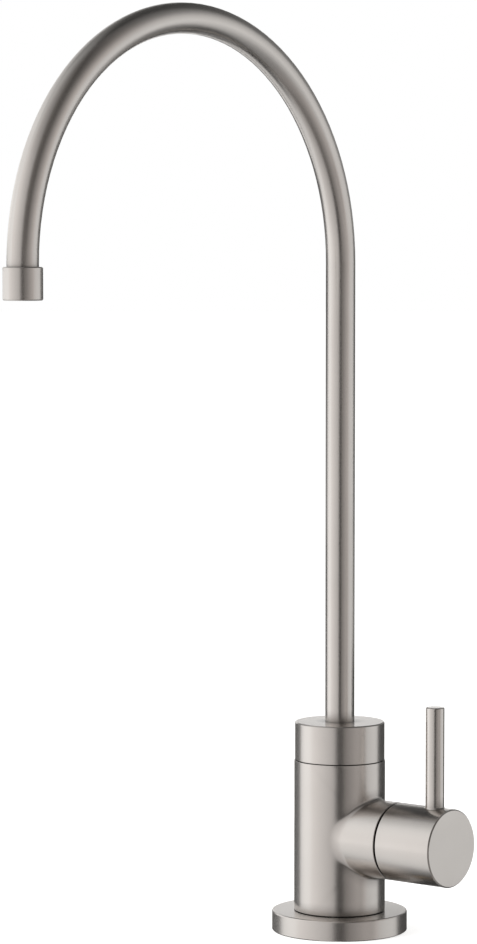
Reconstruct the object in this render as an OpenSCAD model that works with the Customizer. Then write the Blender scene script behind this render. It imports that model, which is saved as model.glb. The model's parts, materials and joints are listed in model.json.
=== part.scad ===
// Drinking water filter tap: a swivel gooseneck spout on a valve body with a quarter-turn side lever.
// Millimetres. Z is up, the spout points to -Y, and the lever is on the +X side.
// The origin is the centre of the base flange's underside, on the worktop.

/* [Spout] */
// Outer diameter of the spout tube
tube_d = 10; // [8:0.1:12]
// Wall thickness of the spout tube
tube_wall = 1; // [0.6:0.1:1.6]
// Radius of the gooseneck, to the tube's centreline
bend_r = 78.5; // [50:0.5:110]
// Height of the gooseneck's spring line above the worktop
spring_z = 228.9; // [160:0.1:300]
// Wall of the outlet sleeve around the tube
outlet_wall = 1.2; // [0.8:0.1:2.5]
// Length of the outlet sleeve
outlet_h = 10.3; // [8:0.1:16]
// Drop from the spring line to the top of the outlet sleeve
outlet_drop = 1; // [0.5:0.1:12]
// Diameter of the swivel collar
collar_d = 30.7; // [30:0.1:36]
// Height of the swivel collar
collar_h = 13.05; // [11:0.05:20]
// Wall of the spigot around the tube
spigot_wall = 3.4; // [3:0.1:4.2]
// Depth of the spigot's socket in the body
socket_depth = 13.2; // [12.5:0.1:18]

/* [Body] */
// Diameter of the valve body
body_d = 31.2; // [29:0.1:36]
// Diameter of the base flange
flange_d = 46.3; // [42:0.1:60]
// Thickness of the base flange
flange_h = 6.9; // [5.5:0.1:10]
// Height of the lever's axis above the worktop
handle_z = 33; // [32:0.1:40]
// Radius of the blend above and below the side stub
blend_r = 1.4; // [0.8:0.1:4.5]
// Radius of the softer blend at the stub's two sides
blend_side_r = 9; // [2:0.5:20]
// Metal between the valve chamber and the spout's socket
web = 2.5; // [1.5:0.1:6]
// Width of the dark seam under the swivel collar
seam_gap = 0.2; // [0.1:0.05:0.8]

/* [Valve] */
// Metal around the valve chamber in the side stub
stub_wall = 3.2; // [2.6:0.1:4]
// Thickness of each ceramic disc
disc_t = 2.5; // [2:0.1:3.5]
// Thickness of the seat seal
seal_t = 1.8; // [1.2:0.1:2.5]
// Length of the space where water leaves the discs
mix_l = 3.5; // [3:0.1:5]
// Length of the gland nut
gland_l = 5; // [4:0.1:7]

/* [Lever] */
// Diameter of the lever hub and of the side stub
hub_d = 26.4; // [25.6:0.1:28]
// Length of the lever hub
hub_l = 22.55; // [21:0.05:30]
// Gap between the side stub and the lever hub
hub_gap = 0.55; // [0.3:0.05:1]
// Diameter of the lever rod
lever_d = 6.3; // [5.5:0.1:8]
// Height of the lever rod above the hub
lever_h = 33.9; // [20:0.1:50]
// Radius of the fillet at the lever rod's foot
lever_foot_r = 0.6; // [0.3:0.1:1.2]
// Distance from the lever rod's axis to the hub's outer face
lever_inset = 7.1; // [6:0.1:8]
// Angle that the lever turns from closed to open
lever_turn = 90; // [60:1:100]

/* [Mounting] */
// Outer diameter of the threaded shank
shank_d = 11.1; // [10:0.1:12.7]
// Bore of the threaded shank
shank_bore_d = 6; // [5:0.1:6.5]
// Thickness of the worktop that the nut clamps
deck_t = 30; // [10:1:45]
// Diameter of the washers under the worktop
washer_d = 28; // [24:0.5:40]
// Width of the mounting nut across its flats
nut_af = 17.5; // [16:0.5:24]
// Height of the mounting nut
nut_h = 8; // [5:0.5:12]
// Diameter of the shank's tail, where the supply fitting goes
tail_d = 9.5; // [9:0.1:9.8]
// Length of the shank's tail below its thread
tail_l = 15.5; // [10:0.5:30]

/* [Clearances] */
// Radial clearance of a turning fit
run_gap = 0.05; // [0.02:0.01:0.1]
// Radial clearance of a fixed fit
seat_gap = 0.05; // [0.02:0.01:0.1]
// Chamfer on the outer edges
edge = 0.3; // [0.1:0.05:0.5]
// Finer chamfer on the two edges of the swivel seam
seam_edge = 0.1; // [0.05:0.05:0.2]

/* [Hidden] */
$fn = 96;
// Distance that a cut runs past the face it opens
past = 1;

// Spout
tube_r = tube_d / 2;
tube_bore_r = tube_r - tube_wall;
tube_fit_r = tube_r + seat_gap;
spigot_r = tube_r + spigot_wall;
socket_r = spigot_r + run_gap;
collar_r = collar_d / 2;
outlet_r = tube_fit_r + outlet_wall;
outlet_top = spring_z - outlet_drop;
outlet_z = outlet_top - outlet_h;
outlet_lip_h = 0.9;
outlet_lip_in = 0.6;
outlet_lip_r = tube_r - outlet_lip_in;
outlet_edge = 0.6;
screen_t = 2.6;
screen_hole_r = 0.5;
screen_pitch = 1.9;
screen_rings = 2;
screen_washer_t = 1.2;
tube_end_z = outlet_z + outlet_lip_h + screen_t + screen_washer_t;

// Body and lever heights
body_r = body_d / 2;
hub_r = hub_d / 2;
flange_r = flange_d / 2;
chamber_r = hub_r - stub_wall;
socket_z = handle_z + chamber_r + web;
body_top = socket_z + socket_depth;
collar_z = body_top + seam_gap;
collar_top = collar_z + collar_h;
// Relief under the body's foot, which draws a dark line on the flange
foot_relief_h = 0.3;
foot_relief_d = 1.2;

// Swivel
glide_t = 1.5;
glide_z = collar_z - glide_t;
glide_slack = 0.25;
glide_share = 0.62;
glide_in_r = socket_r + glide_slack;
glide_out_r = socket_r + glide_share * (body_r - socket_r);
spigot_lift = 2.5;
spigot_foot = socket_z + spigot_lift;
spigot_flange_in = 0.5;
spigot_flange_r = glide_out_r - spigot_flange_in;
spigot_flange_h = 3.4;
spigot_neck_wall = 2.4;
spigot_neck_r = tube_fit_r + spigot_neck_wall;
collar_cap_h = 2.6;
spigot_top = collar_top - collar_cap_h;
tube_stop_h = 4;
tube_foot = spigot_foot + tube_stop_h;
ring_section_r = 0.7;
ring_groove_h = 1.8;
ring_floor_r = spigot_r - 2 * ring_section_r;
ring_low_rise = 2;
ring_low_z = spigot_foot + ring_low_rise;
ring_high_drop = 1.6;
ring_high_z = glide_z - ring_high_drop;
clip_t = 1.1;
clip_z = (ring_low_z + ring_high_z) / 2;
clip_slack = 0.15;
clip_depth = 1.2;
clip_floor_r = spigot_r - clip_depth;
clip_float = 0.35;
clip_in_r = clip_floor_r + clip_float;
clip_reach = 0.6;
clip_out_r = socket_r + clip_reach;
clip_ease = 0.1;
clip_groove_r = clip_out_r + clip_ease;
clip_gap = 3;

// Shank and base
shank_r = shank_d / 2;
inlet_r = shank_bore_d / 2;
boss_share = 0.42;
boss_h = boss_share * flange_h;
boss_z = flange_h - boss_h;
boss_wall = 3.4;
boss_r = shank_r + boss_wall;
shank_grip = 12.5;
shank_top = boss_z + shank_grip;
shank_seal_r = 0.75;
shank_socket_z = shank_top + 2 * shank_seal_r;
shank_chamfer = 0.8;
gasket_t = 1.8;
gasket_w = 4.5;
gasket_shift = 1.2;
gasket_mid_r = (boss_r + flange_r) / 2 + gasket_shift;
rubber_t = 3;
steel_t = 1.5;
washer_r = washer_d / 2;
washer_slack = 0.35;
washer_bore_r = shank_r + washer_slack;
steel_inset = 0.5;
rubber_z = -deck_t - rubber_t;
steel_z = rubber_z - steel_t;
nut_z = steel_z - nut_h;
nut_bore_r = shank_r + seat_gap;
nut_corner_r = nut_af / sqrt(3);
tail_r = tail_d / 2;
thread_end_l = 2.5;
tail_z = nut_z - thread_end_l;
shank_foot = tail_z - tail_l;

// Valve cartridge, along X from the chamber's floor
port_inset = 0.3;
port_r = inlet_r - port_inset;
floor_wall = 0.5;
chamber_x = inlet_r + floor_wall;
fixed_x = chamber_x + seal_t;
lap_gap = 0.02;
turning_x = fixed_x + disc_t + lap_gap;
mix_x = turning_x + disc_t;
housing_end_x = mix_x + mix_l;
housing_flange_l = 4.2;
gland_x = housing_end_x + housing_flange_l;
neck_end_x = gland_x + gland_l;
stub_lip = 1.65;
stub_x = neck_end_x + stub_lip;
housing_lift = 0.3;
housing_x = chamber_x + housing_lift;
water_gap = 1.6;
housing_r = chamber_r - water_gap;
housing_wall = 0.8;
cavity_r = housing_r - housing_wall;
housing_slack = 0.1;
housing_flange_r = chamber_r - housing_slack;
housing_ring_r = 0.6;
housing_ring_floor_r = housing_flange_r - 2 * housing_ring_r;
housing_ring_x = housing_end_x + housing_flange_l / 2;
neck_inset = 0.6;
neck_r = cavity_r - neck_inset;
gland_ledge = 1;
gland_r = chamber_r + gland_ledge;
gland_slack = 0.15;
gland_bore_r = gland_r + seat_gap;
gland_slot_w = 3;
gland_slot_h = 1.5;
disc_slack = 0.1;
disc_r = cavity_r - disc_slack;
turning_slack = 0.3;
turning_r = disc_r - turning_slack;
disc_port_in = 2.1;
disc_rim = 1.6;
disc_port_out = disc_r - disc_rim;
disc_port_deg = 70;
seal_ledge = 0.2;
seal_in_r = disc_port_out + seal_ledge;
spindle_r = 4;
journal_r = spindle_r + run_gap;
bar_w = 3.9;
bar_inset = 0.4;
bar_l = 2 * (turning_r - bar_inset);
bar_depth = 1.2;
bar_x = mix_x - bar_depth;
bar_end_gap = 0.3;
bar_end_x = housing_end_x - bar_end_gap;
bar_slot_w = bar_w + 2 * run_gap;
stop_overlap = 0.9;
stop_in_r = bar_l / 2 - stop_overlap;
bar_half_deg = asin(bar_w / 2 / stop_in_r);
stop_slack_deg = 1.5;
stop_deg = 180 - lever_turn - 2 * bar_half_deg - 2 * stop_slack_deg;
stop_mid_deg = lever_turn / 2 + 90;
stop_lift = 0.4;
stop_x = mix_x + stop_lift;
window_inset = 0.6;
window_x = mix_x + window_inset;
window_l = mix_l - 2 * window_inset;
window_w = 5;
spindle_lift = 0.2;
spindle_x = mix_x + spindle_lift;
spindle_ring_r = 0.45;
spindle_ring_floor_r = spindle_r - 2 * spindle_ring_r;
spindle_ring_inset = 1;
spindle_ring_x = gland_x + spindle_ring_inset;
spindle_clip_t = 0.8;
spindle_clip_gap = 0.15;
spindle_clip_x = neck_end_x + spindle_clip_gap;
spindle_clip_floor_r = 3.2;
spindle_clip_r = 5.6;
spindle_clip_mouth = 4.6;
key_w = 5;
key_root_l = 0.6;
key_x = spindle_clip_x + spindle_clip_t + spindle_clip_gap;
outlet_hole_r = 2.1;
outlet_hole_inset = 0.4;
outlet_hole_x = chamber_x + outlet_hole_inset + outlet_hole_r;

// Lever
hub_x = stub_x + hub_gap;
hub_end = hub_x + hub_l;
hub_wall = 2.6;
hub_recess_r = hub_r - hub_wall;
hub_recess_l = 3;
hub_recess_x = hub_x + hub_recess_l;
hub_edge = 0.4;
lever_r = lever_d / 2;
lever_x = hub_end - lever_inset;
lever_top = handle_z + hub_r + lever_h;
lever_seat_share = 0.7;
lever_seat_z = handle_z + lever_seat_share * hub_r;
lever_shoulder = 0.65;
lever_stud_r = lever_r - lever_shoulder;
lever_stud_share = 0.3;
lever_stud_z = handle_z + lever_stud_share * hub_r;
lever_stud_room = 0.4;
key_room = 0.3;
key_wall = 1.2;
key_end = lever_x - lever_r - key_wall;
key_hole_w = key_w + 2 * seat_gap;
grub_r = 1.95;
grub_hole_r = grub_r + seat_gap;
grub_inset = 3.6;
grub_x = hub_recess_x + grub_inset;
grub_tip_z = handle_z - key_w / 2 - seat_gap;
grub_l = 6.2;
grub_socket_af = 2;
grub_socket_h = 2.4;

// Colours of the finishes
STEEL = [0.72, 0.70, 0.67];
BRASS = [0.78, 0.64, 0.36];
RUBBER = [0.10, 0.10, 0.11];
CERAMIC = [0.93, 0.93, 0.90];
NYLON = [0.88, 0.87, 0.82];

// Solid of revolution about Z from a list of [radius, height] points
module turned(points) {
    rotate_extrude() polygon(points);
}

// Hollow cylinder about Z between two heights
module ring(out_r, in_r, z0, z1) {
    translate([0, 0, z0])
        difference() {
            cylinder(h = z1 - z0, r = out_r);
            translate([0, 0, -past]) cylinder(h = z1 - z0 + 2 * past, r = in_r);
        }
}

// Plain cylinder about Z between two heights
module rod(r, z0, z1) {
    translate([0, 0, z0]) cylinder(h = z1 - z0, r = r);
}

// O-ring about Z, with its section at the given radius and height
module o_ring(mid_r, section_r, z) {
    translate([0, 0, z]) rotate_extrude() translate([mid_r, 0]) circle(section_r);
}

// Puts children that are built along Z on the lever's axis, so that their Z is the tap's X
module on_lever_axis() {
    translate([0, 0, handle_z]) rotate([0, 90, 0]) children();
}

// Flat sector of a ring, its middle at an angle from the lever's closed direction
module fan(in_r, out_r, mid_deg, width_deg) {
    reach = 2 * out_r;
    sides = 4;
    intersection() {
        difference() {
            circle(out_r);
            circle(in_r);
        }
        polygon(concat([[0, 0]], [
            for (i = [0 : sides])
                let (a = 180 + mid_deg + width_deg * (i / sides - 0.5))
                [reach * cos(a), reach * sin(a)]
        ]));
    }
}

// Two opposite sectors, cut between two heights
module fan_pair(in_r, out_r, mid_deg, width_deg, z0, z1) {
    for (turn = [0, 180])
        translate([0, 0, z0])
            linear_extrude(z1 - z0) fan(in_r, out_r, mid_deg + turn, width_deg);
}

// Split spring ring about Z, open toward +Y
module split_ring(out_r, in_r, z0, z1, gap) {
    difference() {
        ring(out_r, in_r, z0, z1);
        translate([-gap / 2, 0, z0 - past]) cube([gap, out_r + past, z1 - z0 + 2 * past]);
    }
}

// Round escutcheon that sits on the worktop, with a recess for the body and a groove for its gasket
module base_flange() {
    hole_r = shank_r + 0.25;
    seat_r = boss_r + seat_gap;
    groove_in = gasket_mid_r - gasket_w / 2 - seat_gap;
    groove_out = gasket_mid_r + gasket_w / 2 + seat_gap;
    rim = 0.5;
    color(STEEL) turned([
        [hole_r, 0], [groove_in, 0], [groove_in, gasket_t], [groove_out, gasket_t], [groove_out, 0],
        [flange_r - edge, 0], [flange_r, edge], [flange_r, flange_h - rim],
        [flange_r - rim * (1 - sqrt(0.5)), flange_h - rim * (1 - sqrt(0.5))],
        [flange_r - rim, flange_h], [seat_r, flange_h], [seat_r, boss_z], [hole_r, boss_z]
    ]);
}

// Rubber ring under the flange, flush with the worktop
module flange_gasket() {
    color(RUBBER) ring(gasket_mid_r + gasket_w / 2, gasket_mid_r - gasket_w / 2, 0, gasket_t);
}

// Rolling-ball blend where a small cylinder along X leaves a larger one about Z, as a closed loop of sections
function ball_centre(a, big_r, small_r, ball_r) =
    let (y = (small_r + ball_r) * cos(a))
    [sqrt(pow(big_r + ball_r, 2) - y * y), y, (small_r + ball_r) * sin(a)];

// The ball has one radius above and below and swells to another at the sides
function ball_radius(a, top_r, side_r) =
    let (swell = 10)
    top_r + (side_r - top_r) * pow(cos(a), swell);

function blend_section(a, big_r, small_r, ball_r, root, steps) =
    let (
        sunk = 0.04,
        c = ball_centre(a, big_r, small_r, ball_r),
        to_big = -[c.x, c.y, 0] / (big_r + ball_r),
        to_small = -[0, cos(a), sin(a)],
        spread = acos(to_big * to_small),
        toward = function (t)
            (sin((1 - t) * spread) * to_big + sin(t * spread) * to_small) / sin(spread)
    )
    concat(
        [c + (ball_r + sunk) * to_big],
        [for (i = [1 : steps - 1]) c + ball_r * toward(i / steps)],
        [c + (ball_r + sunk) * to_small],
        [c + (ball_r / cos(spread / 2) + root) * toward(1 / 2)]
    );

module cylinder_blend(big_r, small_r, top_r, side_r, sections, steps) {
    count = steps + 2;
    root = 0.7 * top_r;
    points = [
        for (s = [0 : sections - 1])
            let (a = 360 * s / sections)
            each blend_section(a, big_r, small_r, ball_radius(a, top_r, side_r), root, steps)
    ];
    faces = [
        for (s = [0 : sections - 1], i = [0 : count - 1])
            let (
                a = s * count + i,
                b = s * count + (i + 1) % count,
                c = ((s + 1) % sections) * count + (i + 1) % count,
                d = ((s + 1) % sections) * count + i
            )
            each [[a, b, c], [a, c, d]]
    ];
    polyhedron(points = points, faces = faces, convexity = 6);
}

// Upright barrel with the side stub, the spout's socket, the valve chamber and the waterways
module valve_body() {
    color(STEEL) difference() {
        union() {
            turned([
                [0, boss_z], [boss_r, boss_z], [boss_r, flange_h],
                [body_r - foot_relief_d, flange_h],
                [body_r - foot_relief_d, flange_h + foot_relief_h],
                [body_r, flange_h + foot_relief_h], [body_r, body_top - seam_edge],
                [body_r - seam_edge, body_top], [0, body_top]
            ]);
            on_lever_axis() turned([
                [0, 0], [hub_r, 0], [hub_r, stub_x - edge], [hub_r - edge, stub_x], [0, stub_x]
            ]);
            translate([0, 0, handle_z])
                cylinder_blend(body_r, hub_r, blend_r, blend_side_r, sections = 72, steps = 8);
        }
        // Spout socket, the glide ring's seat and the retaining ring's groove
        rod(socket_r, socket_z, body_top + past);
        rod(glide_out_r + seat_gap, glide_z, body_top + past);
        rod(clip_groove_r, clip_z - clip_t / 2 - clip_slack, clip_z + clip_t / 2 + clip_slack);
        // Valve chamber, the gland nut's thread and the inlet port
        on_lever_axis() {
            rod(chamber_r, chamber_x, gland_x + past);
            rod(gland_bore_r, gland_x, stub_x + past);
            rod(port_r, 0, chamber_x + past);
        }
        // Shank's thread, the rising inlet and the passage from the valve to the spout
        rod(shank_r + seat_gap, boss_z - past, shank_socket_z);
        rod(inlet_r, shank_top, handle_z + port_r + 1);
        translate([outlet_hole_x, 0, 0]) rod(outlet_hole_r, handle_z + 0.8 * chamber_r, socket_z + past);
    }
}

// Threaded shank that goes through the worktop and carries the water up
module threaded_shank() {
    color(BRASS) turned([
        [inlet_r, shank_foot], [tail_r - shank_chamfer, shank_foot],
        [tail_r, shank_foot + shank_chamfer], [tail_r, tail_z], [shank_r, tail_z],
        [shank_r, shank_top - shank_chamfer],
        [shank_r - shank_chamfer / 2, shank_top], [inlet_r, shank_top]
    ]);
}

// O-ring between the shank's top and the body
module shank_seal() {
    color(RUBBER) o_ring((inlet_r + shank_r) / 2, shank_seal_r, shank_top + shank_seal_r);
}

// Soft washer against the underside of the worktop
module rubber_washer() {
    color(RUBBER) ring(washer_r, washer_bore_r, rubber_z, -deck_t);
}

// Stiff washer that spreads the nut's load
module steel_washer() {
    color(STEEL) ring(washer_r - steel_inset, washer_bore_r, steel_z, rubber_z);
}

// Hexagon nut with eased corners
module mounting_nut() {
    ease = 0.13 * nut_corner_r;
    color(BRASS) translate([0, 0, nut_z]) difference() {
        intersection() {
            cylinder(h = nut_h, r = nut_corner_r, $fn = 6);
            turned([
                [0, 0], [nut_corner_r - ease, 0], [nut_corner_r, ease / 2],
                [nut_corner_r, nut_h - ease / 2], [nut_corner_r - ease, nut_h], [0, nut_h]
            ]);
        }
        translate([0, 0, -past]) cylinder(h = nut_h + 2 * past, r = nut_bore_r);
    }
}

// Sleeve of the valve cartridge, with side windows, end stops and a neck for the spindle
module cartridge_housing() {
    groove_w = 1.5;
    color(BRASS) on_lever_axis() difference() {
        turned([
            [0, housing_x], [housing_r, housing_x], [housing_r, housing_end_x],
            [housing_flange_r, housing_end_x], [housing_flange_r, housing_ring_x - groove_w / 2],
            [housing_ring_floor_r, housing_ring_x - groove_w / 2],
            [housing_ring_floor_r, housing_ring_x + groove_w / 2],
            [housing_flange_r, housing_ring_x + groove_w / 2], [housing_flange_r, gland_x],
            [neck_r, gland_x], [neck_r, neck_end_x], [0, neck_end_x]
        ]);
        difference() {
            rod(cavity_r, housing_x - past, housing_end_x);
            fan_pair(stop_in_r, housing_r, stop_mid_deg, stop_deg, stop_x, housing_end_x);
        }
        rod(journal_r, housing_end_x - past, neck_end_x + past);
        rotate([0, 0, lever_turn / 2])
            translate([-chamber_r, -window_w / 2, window_x])
                cube([2 * chamber_r, window_w, window_l]);
    }
}

// O-ring that seals the cartridge in the stub
module housing_ring() {
    color(RUBBER) on_lever_axis()
        o_ring(housing_ring_floor_r + housing_ring_r + 0.02, housing_ring_r, housing_ring_x);
}

// Soft ring between the chamber's floor and the fixed disc
module seat_seal() {
    color(RUBBER) on_lever_axis() ring(disc_r - 0.05, seal_in_r, chamber_x, fixed_x);
}

// Ceramic disc with two ports, held still in the housing
module fixed_disc() {
    color(CERAMIC) on_lever_axis() difference() {
        rod(disc_r, fixed_x, fixed_x + disc_t);
        fan_pair(disc_port_in, disc_port_out, 0, disc_port_deg, fixed_x - past, turning_x);
    }
}

// Ceramic disc that the spindle's bar turns, with its ports a quarter turn off at rest
module turning_disc() {
    color(CERAMIC) on_lever_axis() difference() {
        rod(turning_r, turning_x, mix_x);
        fan_pair(disc_port_in, disc_port_out, lever_turn, disc_port_deg, turning_x - past, mix_x + past);
        translate([-chamber_r, -bar_slot_w / 2, bar_x - run_gap])
            cube([2 * chamber_r, bar_slot_w, disc_t]);
    }
}

// Threaded ring that holds the cartridge in the stub
module gland_nut() {
    color(BRASS) on_lever_axis() difference() {
        ring(gland_r, neck_r + gland_slack, gland_x, neck_end_x);
        translate([-gland_r - past, -gland_slot_w / 2, neck_end_x - gland_slot_h])
            cube([2 * (gland_r + past), gland_slot_w, gland_slot_h + past]);
    }
}

// Spindle with a driving bar, an O-ring groove, a clip groove and a square end
module spindle() {
    ring_w = 1.1;
    clip_x0 = spindle_clip_x - 0.05;
    clip_x1 = spindle_clip_x + spindle_clip_t + 0.05;
    color(BRASS) on_lever_axis() {
        translate([-bar_l / 2, -bar_w / 2, bar_x]) cube([bar_l, bar_w, bar_end_x - bar_x]);
        turned([
            [0, spindle_x], [spindle_r, spindle_x], [spindle_r, spindle_ring_x - ring_w / 2],
            [spindle_ring_floor_r, spindle_ring_x - ring_w / 2],
            [spindle_ring_floor_r, spindle_ring_x + ring_w / 2],
            [spindle_r, spindle_ring_x + ring_w / 2], [spindle_r, clip_x0],
            [spindle_clip_floor_r, clip_x0], [spindle_clip_floor_r, clip_x1], [spindle_r, clip_x1],
            [spindle_r, key_x + key_root_l], [0, key_x + key_root_l]
        ]);
        translate([-key_w / 2, -key_w / 2, key_x]) cube([key_w, key_w, key_end - key_x]);
    }
}

// O-ring on the spindle's journal
module spindle_ring() {
    color(RUBBER) on_lever_axis()
        o_ring(spindle_ring_floor_r + spindle_ring_r + 0.01, spindle_ring_r, spindle_ring_x);
}

// Spring clip that keeps the spindle in the housing
module spindle_clip() {
    color(STEEL) on_lever_axis()
        split_ring(spindle_clip_r, spindle_clip_floor_r + 0.05, spindle_clip_x,
            spindle_clip_x + spindle_clip_t, spindle_clip_mouth);
}

// Drum that the lever stands on, with a square hole for the spindle
module lever_hub() {
    color(STEEL) difference() {
        on_lever_axis() turned([
            [0, hub_recess_x], [hub_recess_r, hub_recess_x], [hub_recess_r, hub_x],
            [hub_r - edge, hub_x], [hub_r, hub_x + edge], [hub_r, hub_end - hub_edge],
            [hub_r - hub_edge, hub_end], [0, hub_end]
        ]);
        on_lever_axis()
            translate([-key_hole_w / 2, -key_hole_w / 2, hub_recess_x - past])
                cube([key_hole_w, key_hole_w, key_end + key_room - hub_recess_x + past]);
        translate([lever_x, 0, 0]) {
            rod(lever_r + seat_gap, lever_seat_z, handle_z + hub_r + past);
            rod(lever_stud_r + seat_gap, lever_stud_z - lever_stud_room, lever_seat_z + past);
        }
        translate([grub_x, 0, 0]) rod(grub_hole_r, handle_z - hub_r - past, handle_z);
    }
}

// Round lever with a stud that screws into the hub and a fillet that meets the hub's curve
module lever_rod() {
    top_edge = 0.5;
    color(STEEL) {
        translate([lever_x, 0, 0]) turned([
            [0, lever_stud_z], [lever_stud_r, lever_stud_z], [lever_stud_r, lever_seat_z],
            [lever_r, lever_seat_z], [lever_r, lever_top - top_edge], [lever_r - top_edge, lever_top],
            [0, lever_top]
        ]);
        difference() {
            translate([lever_x, 0, handle_z]) rotate([0, -90, 0])
                cylinder_blend(hub_r, lever_r, lever_foot_r, lever_foot_r, sections = 36, steps = 4);
            on_lever_axis() rod(hub_r + lap_gap, hub_x, hub_end);
        }
    }
}

// Grub screw under the hub that locks it on the spindle
module grub_screw() {
    foot_z = grub_tip_z - grub_l;
    color(STEEL) translate([grub_x, 0, 0]) difference() {
        turned([
            [0, foot_z], [grub_r - 0.2, foot_z], [grub_r, foot_z + 0.2], [grub_r, grub_tip_z - 0.6],
            [grub_r - 0.6, grub_tip_z], [0, grub_tip_z]
        ]);
        translate([0, 0, foot_z - past])
            cylinder(h = grub_socket_h + past, r = grub_socket_af / sqrt(3), $fn = 6);
    }
}

// Slippery ring that the spout turns on
module glide_ring() {
    color(NYLON) ring(glide_out_r, glide_in_r, glide_z, collar_z);
}

// Split spring ring that keeps the spigot in its socket
module retaining_ring() {
    color(STEEL) split_ring(clip_out_r, clip_in_r, clip_z - clip_t / 2, clip_z + clip_t / 2, clip_gap);
}

// Spigot under the spout, with grooves for its O-rings and the retaining ring
module spout_spigot() {
    half_ring = ring_groove_h / 2;
    half_clip = clip_t / 2 + clip_slack;
    foot_edge = 0.5;
    color(BRASS) turned([
        [tube_bore_r, spigot_foot], [spigot_r - foot_edge, spigot_foot],
        [spigot_r, spigot_foot + foot_edge],
        [spigot_r, ring_low_z - half_ring], [ring_floor_r, ring_low_z - half_ring],
        [ring_floor_r, ring_low_z + half_ring], [spigot_r, ring_low_z + half_ring],
        [spigot_r, clip_z - half_clip], [clip_floor_r, clip_z - half_clip],
        [clip_floor_r, clip_z + half_clip], [spigot_r, clip_z + half_clip],
        [spigot_r, ring_high_z - half_ring], [ring_floor_r, ring_high_z - half_ring],
        [ring_floor_r, ring_high_z + half_ring], [spigot_r, ring_high_z + half_ring],
        [spigot_r, collar_z], [spigot_flange_r, collar_z],
        [spigot_flange_r, collar_z + spigot_flange_h], [spigot_neck_r, collar_z + spigot_flange_h],
        [spigot_neck_r, spigot_top], [tube_fit_r, spigot_top], [tube_fit_r, tube_foot],
        [tube_bore_r, tube_foot]
    ]);
}

// O-rings that seal the spigot in its socket
module spigot_ring_low() {
    color(RUBBER) o_ring(ring_floor_r + ring_section_r + 0.01, ring_section_r - 0.01, ring_low_z);
}

module spigot_ring_high() {
    color(RUBBER) o_ring(ring_floor_r + ring_section_r + 0.01, ring_section_r - 0.01, ring_high_z);
}

// Collar over the spigot, which turns with the spout
module swivel_collar() {
    color(STEEL) turned([
        [spigot_flange_r + seat_gap, collar_z], [collar_r - seam_edge, collar_z],
        [collar_r, collar_z + seam_edge], [collar_r, collar_top - hub_edge],
        [collar_r - hub_edge, collar_top], [tube_fit_r, collar_top], [tube_fit_r, spigot_top],
        [spigot_neck_r + seat_gap, spigot_top],
        [spigot_neck_r + seat_gap, collar_z + spigot_flange_h],
        [spigot_flange_r + seat_gap, collar_z + spigot_flange_h]
    ]);
}

// Section of the spout tube
module tube_section() {
    difference() {
        circle(tube_r);
        circle(tube_bore_r);
    }
}

// Riser, half-round gooseneck and the short drop into the outlet
module spout_tube() {
    color(STEEL) {
        translate([0, 0, tube_foot]) linear_extrude(spring_z - tube_foot) tube_section();
        translate([0, -bend_r, spring_z])
            rotate([90, 0, 90]) rotate_extrude(angle = 180) translate([bend_r, 0]) tube_section();
        translate([0, -2 * bend_r, tube_end_z])
            linear_extrude(spring_z - tube_end_z) tube_section();
    }
}

// Sleeve around the tube's end, with a lip that holds the flow straightener
module outlet_sleeve() {
    steps = 4;
    lower_edge = [
        for (i = [0 : steps])
            let (a = -90 + 90 * i / steps)
            [outlet_r - outlet_edge + outlet_edge * cos(a), outlet_z + outlet_edge + outlet_edge * sin(a)]
    ];
    color(STEEL) translate([0, -2 * bend_r, 0]) turned(concat(
        [[outlet_lip_r, outlet_z]], lower_edge,
        [
            [outlet_r, outlet_top - edge], [outlet_r - edge, outlet_top], [tube_fit_r, outlet_top],
            [tube_fit_r, outlet_z + outlet_lip_h], [outlet_lip_r, outlet_z + outlet_lip_h]
        ]
    ));
}

// Disc with rings of small holes that calms the stream
module flow_straightener() {
    z = outlet_z + outlet_lip_h;
    color(NYLON) translate([0, -2 * bend_r, z]) difference() {
        cylinder(h = screen_t, r = tube_r);
        for (ring = [0 : screen_rings], i = [0 : max(0, 6 * ring - 1)])
            rotate([0, 0, i * 60 / max(1, ring)])
                translate([ring * screen_pitch, 0, -past])
                    cylinder(h = screen_t + 2 * past, r = screen_hole_r);
    }
}

// Soft washer between the straightener and the tube's end
module outlet_washer() {
    z = outlet_z + outlet_lip_h + screen_t;
    color(RUBBER) translate([0, -2 * bend_r, 0]) ring(tube_r, tube_bore_r - 0.5, z, z + screen_washer_t);
}

base_flange();
flange_gasket();
valve_body();
threaded_shank();
shank_seal();
rubber_washer();
steel_washer();
mounting_nut();
cartridge_housing();
housing_ring();
seat_seal();
fixed_disc();
gland_nut();
turning_disc();
spindle();
spindle_ring();
spindle_clip();
lever_hub();
lever_rod();
grub_screw();
glide_ring();
retaining_ring();
spout_spigot();
spigot_ring_low();
spigot_ring_high();
swivel_collar();
spout_tube();
outlet_sleeve();
flow_straightener();
outlet_washer();
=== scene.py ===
import json
import math

import bmesh
import bpy
from mathutils import Matrix, Vector

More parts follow.
